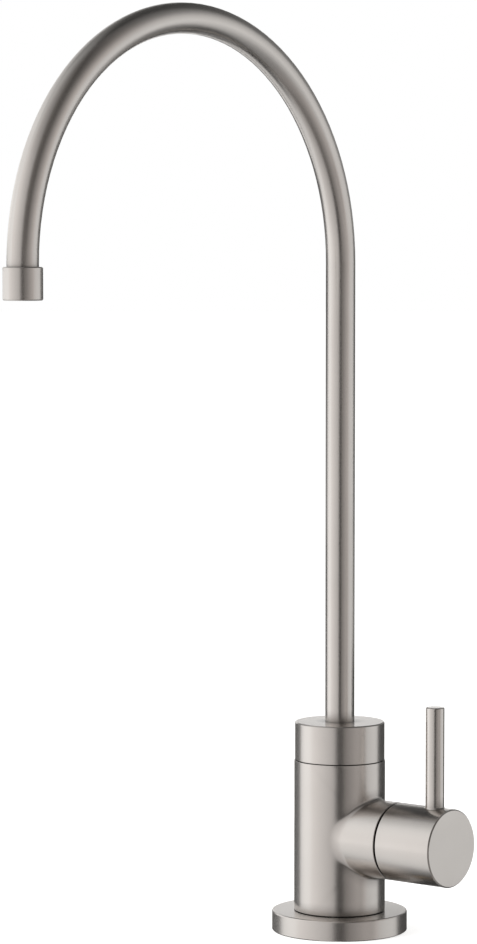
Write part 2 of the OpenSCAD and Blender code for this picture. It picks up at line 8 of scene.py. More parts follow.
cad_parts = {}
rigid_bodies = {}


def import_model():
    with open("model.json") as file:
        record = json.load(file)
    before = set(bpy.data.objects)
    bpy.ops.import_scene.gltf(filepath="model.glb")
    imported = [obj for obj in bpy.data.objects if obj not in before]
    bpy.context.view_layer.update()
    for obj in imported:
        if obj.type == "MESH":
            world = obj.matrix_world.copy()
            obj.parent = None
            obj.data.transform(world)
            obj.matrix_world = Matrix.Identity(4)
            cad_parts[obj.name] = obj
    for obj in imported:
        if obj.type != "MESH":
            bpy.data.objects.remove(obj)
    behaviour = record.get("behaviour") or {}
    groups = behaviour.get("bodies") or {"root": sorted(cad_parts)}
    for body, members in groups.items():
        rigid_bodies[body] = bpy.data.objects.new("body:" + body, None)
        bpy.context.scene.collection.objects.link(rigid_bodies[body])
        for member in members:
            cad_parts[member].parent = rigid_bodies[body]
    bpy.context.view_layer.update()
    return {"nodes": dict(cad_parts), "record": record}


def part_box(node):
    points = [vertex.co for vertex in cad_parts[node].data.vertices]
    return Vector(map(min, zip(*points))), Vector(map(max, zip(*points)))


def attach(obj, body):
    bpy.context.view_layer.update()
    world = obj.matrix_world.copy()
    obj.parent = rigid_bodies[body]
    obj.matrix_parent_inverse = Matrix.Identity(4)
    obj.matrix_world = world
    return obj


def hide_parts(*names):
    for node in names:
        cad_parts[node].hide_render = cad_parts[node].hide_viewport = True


# A satin steel drinking water tap on a pale worktop, in a light tent of white, grey and dark panels.
# Metres. Z is up, the spout points to -Y, the lever is on the +X side, and the worktop is at z = 0.

# An empty scene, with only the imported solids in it

for leftover in list(bpy.data.objects):
    bpy.data.objects.remove(leftover)

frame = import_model()
scene = bpy.context.scene
scene.view_settings.view_transform = "Standard"

MM = 0.001
ORIGIN = Vector((0, 0, 0))
UP = Vector((0, 0, 1))
LEVER_AXIS = Vector((1, 0, 0))

# The photograph's camera
CAMERA_AT = Vector((0.7434, -0.9431, 0.2331))
CAMERA_LOOK = Vector((-0.64034, 0.76574, -0.0629))
FOCAL_PX = 3525
PHOTO_HEIGHT_PX = 944
SENSOR_MM = 36
CAMERA_AZIMUTH = math.degrees(math.atan2(CAMERA_AT.y, CAMERA_AT.x))


# Small helpers

def hex_linear(code):
    """Linear RGBA from an sRGB hex colour."""
    channels = [int(code[i:i + 2], 16) / 255 for i in (1, 3, 5)]
    return [c / 12.92 if c <= 0.04045 else ((c + 0.055) / 1.055) ** 2.4 for c in channels] + [1.0]


def add(tree, kind, inputs=None, stops=None, **settings):
    """Adds a node, sets its properties and colour stops, and fills or links its inputs."""
    node = tree.nodes.new(kind)
    for name, value in settings.items():
        setattr(node, name, value)
    for name, value in (inputs or {}).items():
        if isinstance(value, bpy.types.NodeSocket):
            tree.links.new(value, node.inputs[name])
        else:
            node.inputs[name].default_value = value
    if stops:
        elements = node.color_ramp.elements
        while len(elements) < len(stops):
            elements.new(1.0)
        for element, (position, colour) in zip(elements, stops):
            element.position = position
            element.color = colour
    return node


def new_material(name):
    """An empty node material with its output, as (material, tree, output)."""
    material = bpy.data.materials.new(name)
    material.use_nodes = True
    tree = material.node_tree
    tree.nodes.clear()
    return material, tree, add(tree, "ShaderNodeOutputMaterial")


def link_mesh(name, bm, material, smooth=True):
    """Turns a bmesh into an object at the origin with one material."""
    mesh = bpy.data.meshes.new(name)
    bm.to_mesh(mesh)
    bm.free()
    for polygon in mesh.polygons:
        polygon.use_smooth = smooth
    mesh.materials.append(material)
    piece = bpy.data.objects.new(name, mesh)
    scene.collection.objects.link(piece)
    return piece


# Materials

# Noise values between which a pattern goes from one tone or gloss to the other
NOISE_LOW = 0.3
NOISE_HIGH = 0.7
# Scale of the lathe rings round a piece, as a share of that along it
RING_STRETCH = 0.05


def two_tone(tree, place, dark, light, patch_mm, detail=2.0):
    """A colour that drifts between two close tones, in patches of about the given size."""
    patches = add(tree, "ShaderNodeTexNoise", {
        "Vector": place, "Scale": 1 / (patch_mm * MM), "Detail": detail})
    tone = add(tree, "ShaderNodeValToRGB", {"Fac": patches.outputs["Fac"]}, stops=[
        (NOISE_LOW, hex_linear(dark)), (NOISE_HIGH, hex_linear(light))])
    return tone.outputs["Color"]


def finish_surface(tree, output, colour, grain, roughness, bump, depth_mm, metallic):
    """Gives a material its colour, and a roughness and a faint relief that both follow its grain.
    roughness is a pair, the lowest and the highest; bump is the relief's strength, depth_mm its depth."""
    smoothest, roughest = roughness
    rough = add(tree, "ShaderNodeMapRange", {
        "Value": grain, "From Min": NOISE_LOW, "From Max": NOISE_HIGH,
        "To Min": smoothest, "To Max": roughest})
    relief = add(tree, "ShaderNodeBump", {
        "Height": grain, "Strength": bump, "Distance": depth_mm * MM})
    shader = add(tree, "ShaderNodeBsdfPrincipled", {
        "Base Color": colour, "Metallic": metallic,
        "Roughness": rough.outputs["Result"], "Normal": relief.outputs["Normal"]})
    tree.links.new(shader.outputs["BSDF"], output.inputs["Surface"])


def satin_steel(name, hairline_scale, painted_shade_mm=0):
    """Stainless steel, satin finished: warm grey, soft-edged reflections, hardly visible hairlines.
    hairline_scale is large across the hairlines and small along them.
    The last argument is how far out from an inside corner a painted shade darkens the colour."""
    material, tree, output = new_material(name)
    place = add(tree, "ShaderNodeTexCoord").outputs["Object"]
    stretched = add(tree, "ShaderNodeMapping", {"Vector": place, "Scale": hairline_scale})
    hairline = add(tree, "ShaderNodeTexNoise", {
        "Vector": stretched.outputs["Vector"], "Scale": 1.0, "Detail": 3.0, "Roughness": 0.6})
    colour = two_tone(tree, place, "#E5E0DB", "#E9E4DF", patch_mm=18)
    # Painted shade: an ambient occlusion node darkens the colour in inside corners and under overhangs
    if painted_shade_mm:
        shaded = add(tree, "ShaderNodeAmbientOcclusion", {
            "Color": colour, "Distance": painted_shade_mm * MM}, samples=8)
        colour = shaded.outputs["Color"]
    finish_surface(tree, output, colour, hairline.outputs["Fac"], roughness=(0.255, 0.265),
                   bump=0.02, depth_mm=0.003, metallic=1.0)
    return material


def turned_metal(name, dark, light, roughness, lathe_mm):
    """Bare turned metal: its own colour, a middling gloss and fine lathe rings round the upright axis."""
    material, tree, output = new_material(name)
    place = add(tree, "ShaderNodeTexCoord").outputs["Object"]
    # Stretched level, the noise becomes rings; its fourth axis only picks which rings are drawn
    level = add(tree, "ShaderNodeMapping", {"Vector": place, "Scale": (RING_STRETCH, RING_STRETCH, 1)})
    rings = add(tree, "ShaderNodeTexNoise", {
        "Vector": level.outputs["Vector"], "W": 0.0, "Scale": 1 / (lathe_mm * MM), "Detail": 2.0},
        noise_dimensions="4D")
    colour = two_tone(tree, place, dark, light, patch_mm=5, detail=3.0)
    finish_surface(tree, output, colour, rings.outputs["Fac"], (roughness - 0.04, roughness + 0.06),
                   bump=0.15, depth_mm=0.02, metallic=1.0)
    return material


def moulded(name, dark, light, roughness, grain_mm, depth_mm):
    """A moulded or fired non-metal: its own colour, an even low gloss and a fine grain."""
    material, tree, output = new_material(name)
    place = add(tree, "ShaderNodeTexCoord").outputs["Object"]
    grain = add(tree, "ShaderNodeTexNoise", {
        "Vector": place, "Scale": 1 / (grain_mm * MM), "Detail": 4.0})
    colour = two_tone(tree, place, dark, light, patch_mm=6)
    finish_surface(tree, output, colour, grain.outputs["Fac"], (roughness - 0.05, roughness + 0.05),
                   bump=0.3, depth_mm=depth_mm, metallic=0.0)
    return material


# Real satin hairlines are under 0.1 mm wide, too fine to show, so these are drawn coarser
HAIRLINE_ACROSS = 1 / (0.3 * MM)
HAIRLINE_ALONG = 1 / (9 * MM)
ROUND_THE_BARREL = (HAIRLINE_ALONG, HAIRLINE_ALONG, HAIRLINE_ACROSS)
ROUND_THE_STUB = (HAIRLINE_ACROSS, HAIRLINE_ALONG, HAIRLINE_ALONG)

# Painted shade: the round pieces' colour darkens in inside corners, and the hub's reaches far enough to
# darken its underside too
SATIN_ROUND = satin_steel("satin_steel_round", ROUND_THE_BARREL, painted_shade_mm=4.5)
SATIN_FLANGE = satin_steel("satin_steel_flange", ROUND_THE_BARREL)
SATIN_HUB = satin_steel("satin_steel_hub", ROUND_THE_STUB, painted_shade_mm=24)
# Brass as turned on the lathe: warm yellow with a soft gloss
BRASS = turned_metal("turned_brass", "#C6A35C", "#D3B26C", roughness=0.3, lathe_mm=0.25)
# Spring steel: cool grey and a little duller than the brass
STEEL = turned_metal("plain_spring_steel", "#B4B5B7", "#C0C1C2", roughness=0.34, lathe_mm=0.3)
# Moulded rubber: nearly black and matt
RUBBER = moulded("moulded_black_rubber", "#1A1A1B", "#242425", 0.6, grain_mm=0.25, depth_mm=0.02)
# Fired ceramic: smooth warm white with a low sheen
CERAMIC = moulded("fired_white_ceramic", "#ECEBE5", "#F3F2ED", 0.32, grain_mm=0.4, depth_mm=0.004)
# Moulded nylon: creamy white and duller than the ceramic
NYLON = moulded("moulded_white_nylon", "#E2E0D8", "#EAE8E1", 0.45, grain_mm=0.5, depth_mm=0.01)

SLOT_FINISH = {
    "satin_steel": SATIN_ROUND, "plain_brass": BRASS, "plain_steel": STEEL,
    "seal_rubber": RUBBER, "white_ceramic": CERAMIC, "white_nylon": NYLON}

# The hub's hairlines run round its own axis, and the flange has no painted corner shade
OWN_FINISH = {"lever_hub": SATIN_HUB, "base_flange": SATIN_FLANGE}

for subpart in frame["record"]["subparts"]:
    finish = OWN_FINISH.get(subpart["node"], SLOT_FINISH[subpart["material_slot"]])
    frame["nodes"][subpart["node"]].material_slots[0].material = finish


# Round shapes that the solids have in flat facets

# Places of the solids
LEVER_Z = sum(corner.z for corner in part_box("lever_hub")) / 2
STUB_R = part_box("lever_hub")[1].y
FLANGE_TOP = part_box("base_flange")[1].z

# Clearances, and the distance within which two points are one
FIT = 0.05 * MM
LOOSE_FIT = 0.1 * MM
MERGE = 0.001 * MM

# Body: eased edges, the step over the flange, the stub's blend, and the wall and room inside
STUB_EDGE = 0.3 * MM
SEAM_EDGE = 0.1 * MM
FOOT_RELIEF_H = 0.3 * MM
FOOT_RELIEF_D = 1.2 * MM
BLEND_TOP_R = 1.4 * MM
BLEND_SIDE_R = 9 * MM
BLEND_SWELL = 10
BOSS_WALL = 3.4 * MM
ROOM_UNDER_SPIGOT = 2.5 * MM

# Lever: its foot starts just over the hub, and its stud's shoulder sits at a share of the hub's radius
LEVER_R = 3.15 * MM
LEVER_FOOT_R = 0.6 * MM
LEVER_FOOT_LIFT = 0.02 * MM
LEVER_TOP_EDGE = 0.5 * MM
STUD_STEP = 0.65 * MM
STUD_SEAT = 0.7

# Shank
THREAD_PITCH = 1.27 * MM
THREAD_DEPTH = 0.78 * MM
THREAD_UNDER_NUT = 2.5 * MM
TAIL_R = 4.75 * MM
TAIL_CHAMFER = 0.8 * MM
WATER_BORE_R = 3 * MM


def closed_loop(bm, points):
    """A closed loop of edges through the points."""
    verts = [bm.verts.new(point) for point in points]
    return [bm.edges.new(pair) for pair in zip(verts, verts[1:] + verts[:1])]


def skin(bm, loops):
    """Bridges each loop of edges to the next."""
    for near, far in zip(loops, loops[1:]):
        bmesh.ops.bridge_loops(bm, edges=near + far)


def ring_on(bm, edges, axis, centre, radius, level):
    """Extrudes a loop of edges to a ring of a given radius and level along an axis, and returns it."""
    grown = bmesh.ops.extrude_edge_only(bm, edges=edges)["geom"]
    new_verts = {item for item in grown if isinstance(item, bmesh.types.BMVert)}
    for vert in new_verts:
        spoke = vert.co - centre
        spoke -= spoke.dot(axis) * axis
        vert.co = centre + spoke.normalized() * radius + axis * level
    new_edges = [item for item in grown if isinstance(item, bmesh.types.BMEdge)]
    return [edge for edge in new_edges if new_verts.issuperset(edge.verts)]


def turn_profile(bm, edges, axis, centre, profile):
    """Carries a loop of edges along a list of (radius, level) points, and returns the last loop."""
    for radius, level in profile:
        edges = ring_on(bm, edges, axis, centre, radius, level)
    return edges


def close_flat(bm, edges):
    """Closes a flat loop of edges with one face."""
    bmesh.ops.contextual_create(bm, geom=edges)


def open_edges(bm, level=None):
    """The edges of a mesh's openings, or only of the one at a level."""
    edges = [edge for edge in bm.edges if edge.is_boundary]
    if level is None:
        return edges
    return [edge for edge in edges if all(abs(vert.co.z - level) < FIT for vert in edge.verts)]


def eased(radius, level, ease, steps=3):
    """A small quarter-round edge from a turned side up to its end face, as (radius, level) points."""
    turns = [math.pi / 2 * i / steps for i in range(steps + 1)]
    return [(radius - ease * (1 - math.cos(turn)), level - ease * (1 - math.sin(turn))) for turn in turns]


def crisp(bm, degrees=40):
    """Outward faces, and a hard shading line wherever two of them meet at more than the angle."""
    bmesh.ops.recalc_face_normals(bm, faces=bm.faces)
    for edge in bm.edges:
        edge.smooth = edge.is_boundary or edge.calc_face_angle() < math.radians(degrees)


def shade_evenly(piece):
    """Lets the large faces set the shading, so that a small edge beside them doesn't bend it."""
    weighted = piece.modifiers.new("even_shading", "WEIGHTED_NORMAL")
    weighted.keep_sharp = True


def rolled_point(big_r, small_r, ball, turn, share):
    """A point on the blend that a rolling ball leaves where a small cylinder along X meets a big one
    about Z. turn goes round the small cylinder, and share goes from the big one (0) to the small one (1)."""
    across = (small_r + ball) * math.cos(turn)
    out = math.sqrt((big_r + ball) ** 2 - across ** 2)
    centre = Vector((out, across, (small_r + ball) * math.sin(turn)))
    to_big = Vector((-centre.x, -centre.y, 0)).normalized()
    to_small = Vector((0, -math.cos(turn), -math.sin(turn)))
    return centre + ball * to_big.slerp(to_small, share)


def stub_ball(turn):
    """Radius of the ball at the stub: small above and below it, large at its two sides."""
    return BLEND_TOP_R + (BLEND_SIDE_R - BLEND_TOP_R) * math.cos(turn) ** BLEND_SWELL


def half_barrel_edge(turn, skirt, rim):
    """The (swing, height) on the border of the barrel's lever half, in a direction round the stub."""
    corner = math.pi / 4
    side, along = divmod(turn + corner, 2 * corner)
    along = along / corner - 1
    swing = (1, -along, -1, along)[int(side) % 4]
    height = ((1 + along) / 2, 1, (1 - along) / 2, 0)[int(side) % 4]
    return swing * math.pi / 2, skirt + height * (rim - skirt)


def body_skin(barrel_r, skirt, rim):
    """Outside of the barrel and the stub, open at the barrel's skirt and rim and at the stub's end.
    The barrel's lever half spreads from the blend to its border, and the other half is spun from there."""
    sections = 96
    blend_steps = 12
    spread_steps = 10
    turns = [2 * math.pi * i / sections for i in range(sections)]
    blend = [[rolled_point(barrel_r, STUB_R, stub_ball(turn), turn, step / blend_steps) for turn in turns]
             for step in range(blend_steps + 1)]
    bm = bmesh.new()
    loops = []
    for step in range(spread_steps):
        share = step / spread_steps
        points = []
        for turn, start in zip(turns, blend[0]):
            far_swing, far_height = half_barrel_edge(turn, skirt, rim)
            swing = far_swing + (math.atan2(start.y, start.x) - far_swing) * share
            height = far_height + (start.z - far_height) * share
            points.append((barrel_r * math.cos(swing), barrel_r * math.sin(swing), height))
        loops.append(closed_loop(bm, points))
    loops += [closed_loop(bm, points) for points in blend]
    skin(bm, loops)
    eighth = sections // 8
    border = [loops[0][i] for i in range(-eighth, eighth)]
    border_verts = list(dict.fromkeys(vert for edge in border for vert in edge.verts))
    bmesh.ops.spin(bm, geom=border + border_verts, cent=ORIGIN, axis=UP, angle=math.pi, steps=sections // 2)
    bmesh.ops.remove_doubles(bm, verts=bm.verts, dist=MERGE)
    return bm


def valve_body():
    """Barrel and side stub in one smooth skin, with the blind bores that the other pieces sit in.
    Heights are from the lever's axis until the last move."""
    low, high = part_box("valve_body")
    barrel_r = high.y
    top = high.z - LEVER_Z
    foot = FLANGE_TOP - LEVER_Z
    boss_foot = low.z - LEVER_Z
    skirt = foot + FOOT_RELIEF_H
    rim = top - SEAM_EDGE
    bm = body_skin(barrel_r, skirt, rim)
    rim_loop = open_edges(bm, rim)
    skirt_loop = open_edges(bm, skirt)
    stub_loop = [edge for edge in open_edges(bm) if edge not in rim_loop and edge not in skirt_loop]

    # Stub's end, the gland nut's bore and the cartridge's chamber
    gland_low, gland_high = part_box("gland_nut")
    gland_bore = gland_high.y + FIT
    chamber_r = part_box("cartridge_housing")[1].y + LOOSE_FIT
    chamber_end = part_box("seat_seal")[0].x
    close_flat(bm, turn_profile(bm, stub_loop, LEVER_AXIS, ORIGIN, eased(STUB_R, high.x, STUB_EDGE) + [
        (gland_bore, high.x), (gland_bore, gland_low.x),
        (chamber_r, gland_low.x), (chamber_r, chamber_end)]))

    # Barrel's rim, the glide ring's seat and the spout's socket
    glide_low, glide_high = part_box("glide_ring")
    glide_seat = glide_high.y + FIT
    glide_z = glide_low.z - LEVER_Z
    socket_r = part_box("spigot_ring_low")[1].y + FIT
    socket_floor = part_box("spout_spigot")[0].z - LEVER_Z - ROOM_UNDER_SPIGOT
    close_flat(bm, turn_profile(bm, rim_loop, UP, ORIGIN, eased(barrel_r, top, SEAM_EDGE)[1:] + [
        (glide_seat, top), (glide_seat, glide_z), (socket_r, glide_z), (socket_r, socket_floor)]))

    # Barrel's foot, the boss in the flange and the shank's hole
    relief_r = barrel_r - FOOT_RELIEF_D
    shank_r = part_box("threaded_shank")[1].y
    boss_r = shank_r + BOSS_WALL
    shank_hole = shank_r + FIT
    hole_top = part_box("shank_seal")[1].z - LEVER_Z
    close_flat(bm, turn_profile(bm, skirt_loop, UP, ORIGIN, [
        (relief_r, skirt), (relief_r, foot), (boss_r, foot), (boss_r, boss_foot),
        (shank_hole, boss_foot), (shank_hole, hole_top)]))

    bmesh.ops.translate(bm, verts=bm.verts, vec=UP * LEVER_Z)
    crisp(bm)
    body = link_mesh("tap_body", bm, SATIN_ROUND)
    shade_evenly(body)
    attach(body, "base")
    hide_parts("valve_body")


def lever_rod():
    """Round lever whose foot flows into the hub's curve, with its stud down in the hub."""
    low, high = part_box("lever_rod")
    centre = Vector(((low.x + high.x) / 2, 0, 0))
    hub_r = STUB_R + LEVER_FOOT_LIFT
    stud_r = LEVER_R - STUD_STEP
    seat_z = LEVER_Z + STUD_SEAT * STUB_R
    sections = 64
    foot_steps = 6
    turns = [2 * math.pi * i / sections for i in range(sections)]
    bm = bmesh.new()
    loops = []
    for step in range(foot_steps + 1):
        points = [rolled_point(hub_r, LEVER_R, LEVER_FOOT_R, turn, step / foot_steps) for turn in turns]
        loops.append(closed_loop(bm, [(centre.x - at.z, at.y, LEVER_Z + at.x) for at in points]))
    skin(bm, loops)
    close_flat(bm, turn_profile(bm, loops[-1], UP, centre, eased(LEVER_R, high.z, LEVER_TOP_EDGE, steps=4)))
    close_flat(bm, turn_profile(bm, loops[0], UP, centre, [
        (LEVER_R, seat_z), (stud_r, seat_z), (stud_r, low.z)]))
    crisp(bm)
    rod = link_mesh("round_lever", bm, SATIN_ROUND)
    shade_evenly(rod)
    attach(rod, "handle")
    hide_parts("lever_rod")


def threaded_shank():
    """Brass shank with a fine helical thread, a plain tail for the supply fitting and the water's bore."""
    low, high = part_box("threaded_shank")
    crest_r = high.x
    root_r = crest_r - THREAD_DEPTH
    thread_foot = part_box("mounting_nut")[0].z - THREAD_UNDER_NUT
    turns = math.ceil((high.z - thread_foot) / THREAD_PITCH) + 1
    turn_steps = 36
    bm = bmesh.new()
    # Radius and share of the pitch: root flat, flank, crest flat, flank
    groove = [(root_r, 0), (root_r, 1 / 8), (crest_r, 1 / 2), (crest_r, 5 / 8), (root_r, 1)]
    start_z = thread_foot - THREAD_PITCH
    verts = [bm.verts.new((radius, 0, start_z + share * THREAD_PITCH)) for radius, share in groove]
    edges = [bm.edges.new(pair) for pair in zip(verts, verts[1:])]
    bmesh.ops.spin(bm, geom=verts + edges, cent=ORIGIN, axis=UP, angle=2 * math.pi * turns,
                   dvec=UP * THREAD_PITCH / turn_steps, steps=turns * turn_steps)
    bmesh.ops.remove_doubles(bm, verts=bm.verts, dist=MERGE)
    for level, outwards in ((thread_foot, -UP), (high.z, UP)):
        bmesh.ops.bisect_plane(bm, geom=bm.verts[:] + bm.edges[:] + bm.faces[:], plane_co=UP * level,
                               plane_no=outwards, clear_outer=True)
    middle = (thread_foot + high.z) / 2
    foot_loop = [edge for edge in open_edges(bm) if edge.verts[0].co.z < middle]
    top_loop = [edge for edge in open_edges(bm) if edge.verts[0].co.z > middle]
    tail = turn_profile(bm, foot_loop, UP, ORIGIN, [
        (TAIL_R, thread_foot), (TAIL_R, low.z + TAIL_CHAMFER),
        (TAIL_R - TAIL_CHAMFER, low.z), (WATER_BORE_R, low.z)])
    top = ring_on(bm, top_loop, UP, ORIGIN, WATER_BORE_R, high.z)
    bmesh.ops.bridge_loops(bm, edges=tail + top)
    crisp(bm)
    shank = link_mesh("threaded_shank_with_bore", bm, BRASS)
    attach(shank, "base")
    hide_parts("threaded_shank")


valve_body()
lever_rod()
threaded_shank()


# Stage

# Plain light all round, the floor's glow to the camera, its radius, and its gap under the flange
AMBIENT = 0.5
FLOOR_GLOW = 0.62
FLOOR_R = 12
FLOOR_DROP = 0.1 * MM

# Side of a lamp, and the point that the lamps face
LAMP_SIZE = 1.4
LAMP_AIM = Vector((0, 0, 0.1))

# Faces along each side of a panel
PANEL_STEPS = 24

# Centre and radius of the sphere that a panel is cut from: the far tent, or a small one near a piece
TENT_CENTRE = Vector((0, 0, 0.15))
TENT = (TENT_CENTRE, 3.0)
INNER_TENT = (TENT_CENTRE, 2.9)
BY_THE_HUB = (Vector((0.03, 0, LEVER_Z)), 0.22)
BY_THE_FOOT = (Vector((0, 0, FLANGE_TOP)), 0.1)
BY_THE_BODY = (Vector((0, 0, 0.04)), 0.25)
BY_THE_OUTLET = (sum(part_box("outlet_sleeve"), Vector()) / 2, 0.08)

# Turns from the camera at which panels of several rows meet: degrees, positive to the right of its view
LEFT_BACK_END = -120
LEFT_FLAG_END = -119
LEFT_SILK_START = -78
RIGHT_SILK_END = 70
RIGHT_FLAG_START = 112
RIGHT_BACK_START = 166
RIGHT_FLAG_END = 168
BEHIND = 180

# Elevations in degrees at which the tent's panels meet
NADIR = -89.5
LEFT_FLAG_FOOT = -18
RIGHT_FLAG_FOOT = -16
LOW_EDGE = -6
EYE = 2
BACK_EDGE = 16
BACK_TOP = 30
ZENITH = 89.5

# Tints of the panels
WHITE = "#FFFFFF"
LEFT_SILK = "#FFFCFB"
RIGHT_SILK = "#FFF9F6"
LENS_CARD = "#FFF8F3"

# How bright a panel is at each elevation in degrees
LEFT_FADE = [
    (-90, 0.40), (-75, 0.56), (-52, 0.70), (-38, 0.76), (-26, 0.83), (-14, 0.90), (-8, 1.06), (-4, 1.0),
    (20, 1.0), (27, 0.97), (38, 0.90), (52, 0.57), (64, 0.48), (78, 0.28), (90, 0.19)]
RIGHT_FADE = [
    (-90, 0.46), (-64, 0.60), (-52, 0.58), (-38, 0.68), (-26, 0.81), (-15, 0.86), (-11, 0.88), (-8, 1.02),
    (-5, 1.08), (5, 1.0), (11, 0.94), (18, 0.88), (27, 0.74), (38, 0.50), (52, 0.32), (75, 0.20)]
SIDE_FADE = [
    (-90, 0.30), (-52, 0.40), (-38, 0.53), (-26, 0.75), (-15, 0.87), (-11, 0.89), (-8, 1.02), (-5, 1.04),
    (5, 1.0), (11, 0.94), (18, 0.82), (27, 0.58), (38, 0.34), (52, 0.23), (75, 0.16)]
LENS_FADE = [
    (-90, 1.35), (-70, 1.35), (-52, 1.0), (-38, 0.78), (-25, 0.46), (-16, 0.15), (-8, 0.12), (-5, 0.32),
    (2, 0.34)]
BACK_FADE = [
    (-90, 0.15), (-52, 0.20), (-38, 0.30), (-30, 0.60), (-20, 1.0), (12, 1.0), (16, 0.75), (22, 0.40),
    (30, 0.12)]
HIGH_FADE = [(30, 1.0), (38, 0.85), (52, 0.40), (75, 0.34)]
FLAG_UNDER_FADE = [(-85, 0.35), (-50, 0.35), (-38, 0.41), (-28, 0.65), (-16, 0.95)]
HUB_OVER_FADE = [(24, 1.25), (32, 1.22), (40, 1.05), (48, 0.74), (56, 0.55), (66, 0.60)]
HUB_UNDER_FADE = [(-66, 0.46), (-56, 0.54), (-48, 0.72), (-40, 1.0), (-32, 1.18), (-24, 1.25)]
FLAT = [(-90, 1.0), (90, 1.0)]


def studio_world():
    """White to the camera and in the metal, and a softer plain light on everything else."""
    world = bpy.data.worlds.new("light_tent")
    scene.world = world
    world.use_nodes = True
    tree = world.node_tree
    tree.nodes.clear()
    path = add(tree, "ShaderNodeLightPath")
    seen = add(tree, "ShaderNodeMath", {0: path.outputs["Is Camera Ray"], 1: path.outputs["Is Glossy Ray"]},
               operation="MAXIMUM")
    shown = add(tree, "ShaderNodeMath", {0: seen.outputs[0], 1: path.outputs["Is Transmission Ray"]},
                operation="MAXIMUM")
    white = add(tree, "ShaderNodeBackground", {"Color": hex_linear(WHITE), "Strength": 1.0})
    ambient = add(tree, "ShaderNodeBackground", {"Color": hex_linear(WHITE), "Strength": AMBIENT})
    mix = add(tree, "ShaderNodeMixShader", {
        0: shown.outputs[0], 1: ambient.outputs[0], 2: white.outputs[0]})
    add(tree, "ShaderNodeOutputWorld", {"Surface": mix.outputs[0]})


def pale_floor():
    """Worktop: matt white that reads as the white background and keeps the soft shadow."""
    material, tree, output = new_material("matt_white_worktop")
    place = add(tree, "ShaderNodeTexCoord").outputs["Object"]
    matt = add(tree, "ShaderNodeBsdfDiffuse", {
        "Color": two_tone(tree, place, "#F0EFED", "#F3F2F0", patch_mm=25)})
    path = add(tree, "ShaderNodeLightPath")
    lift = add(tree, "ShaderNodeMath", {0: path.outputs["Is Camera Ray"], 1: FLOOR_GLOW},
               operation="MULTIPLY")
    glow = add(tree, "ShaderNodeEmission", {"Strength": lift.outputs[0]})
    both = add(tree, "ShaderNodeAddShader", {0: matt.outputs[0], 1: glow.outputs[0]})
    tree.links.new(both.outputs[0], output.inputs["Surface"])
    bm = bmesh.new()
    bmesh.ops.create_circle(bm, cap_ends=True, segments=128, radius=FLOOR_R)
    bmesh.ops.translate(bm, verts=bm.verts, vec=-UP * FLOOR_DROP)
    floor = link_mesh("worktop", bm, material, smooth=False)
    floor.visible_glossy = False


def panel_glow(name, around, start, span, shades, fade, tint):
    """Light that runs from one shade to the other across a panel and follows its fade up and down."""
    centre, radius = around
    material, tree, output = new_material(name)
    place = add(tree, "ShaderNodeTexCoord")
    # A radial gradient is 0.5 along +X, so the panel's middle is turned there
    turn_back = -start - span / 2
    unturned = add(tree, "ShaderNodeMapping", {
        "Vector": place.outputs["Object"], "Rotation": (0, 0, turn_back),
        "Location": -(Matrix.Rotation(turn_back, 3, "Z") @ centre)})
    sweep = add(tree, "ShaderNodeTexGradient", {"Vector": unturned.outputs["Vector"]},
                gradient_type="RADIAL")
    half = span / (4 * math.pi)
    shade = add(tree, "ShaderNodeMapRange", {
        "Value": sweep.outputs["Fac"], "From Min": 0.5 - half, "From Max": 0.5 + half,
        "To Min": shades[0], "To Max": shades[1]})
    axes = add(tree, "ShaderNodeSeparateXYZ", {"Vector": unturned.outputs["Vector"]})
    height = add(tree, "ShaderNodeMapRange", {
        "Value": axes.outputs["Z"], "From Min": -radius, "From Max": radius})
    level = add(tree, "ShaderNodeValToRGB", {"Fac": height.outputs["Result"]}, stops=[
        (0.5 + 0.5 * math.sin(math.radians(degrees)), (value, value, value, 1)) for degrees, value in fade])
    strength = add(tree, "ShaderNodeMath", {0: shade.outputs["Result"], 1: level.outputs["Color"]},
                   operation="MULTIPLY")
    glow = add(tree, "ShaderNodeEmission", {"Color": hex_linear(tint), "Strength": strength.outputs[0]})
    tree.links.new(glow.outputs[0], output.inputs["Surface"])
    material.cycles.emission_sampling = "NONE"
    return material


def dome_patch(around, start, span, low, high):
    """Part of a sphere: an arc from one elevation to another, spun round the upright axis."""
    centre, radius = around
    foot = math.radians(low)
    rise = math.radians(high - low)
    bm = bmesh.new()
    first = bm.verts.new((radius * math.cos(foot), 0, radius * math.sin(foot)))
    bmesh.ops.spin(bm, geom=[first], cent=ORIGIN, axis=(0, -1, 0), angle=rise, steps=PANEL_STEPS)
    bmesh.ops.rotate(bm, verts=bm.verts, cent=ORIGIN, matrix=Matrix.Rotation(start, 3, "Z"))
    bmesh.ops.spin(bm, geom=bm.verts[:] + bm.edges[:], cent=ORIGIN, axis=UP, angle=span, steps=PANEL_STEPS)
    bmesh.ops.translate(bm, verts=bm.verts, vec=centre)
    return bm


def panel(name, turns, shades, fade, tint=WHITE, low=NADIR, high=ZENITH, around=TENT):
    """A curved panel that only the metal shows. turns are its two ends, in degrees from the camera and
    positive to the right of its view; shades are its brightness there; low and high are elevations."""
    start = math.radians(CAMERA_AZIMUTH + turns[0])
    span = math.radians(turns[1] - turns[0])
    glow = panel_glow(name + "_panel", around, start, span, shades, fade, tint)
    piece = link_mesh(name + "_panel", dome_patch(around, start, span, low, high), glow)
    piece.visible_camera = False
    piece.visible_diffuse = False
    piece.visible_shadow = False
    piece.visible_transmission = False


def row(start, panels, low=NADIR, high=ZENITH, around=TENT):
    """Panels side by side at one height. Each is its name, the turn where it ends and the next one starts,
    its shades, its fade and, if it isn't white, its tint."""
    for name, end, shades, fade, *tint in panels:
        panel(name, (start, end), shades, fade, *tint, low=low, high=high, around=around)
        start = end


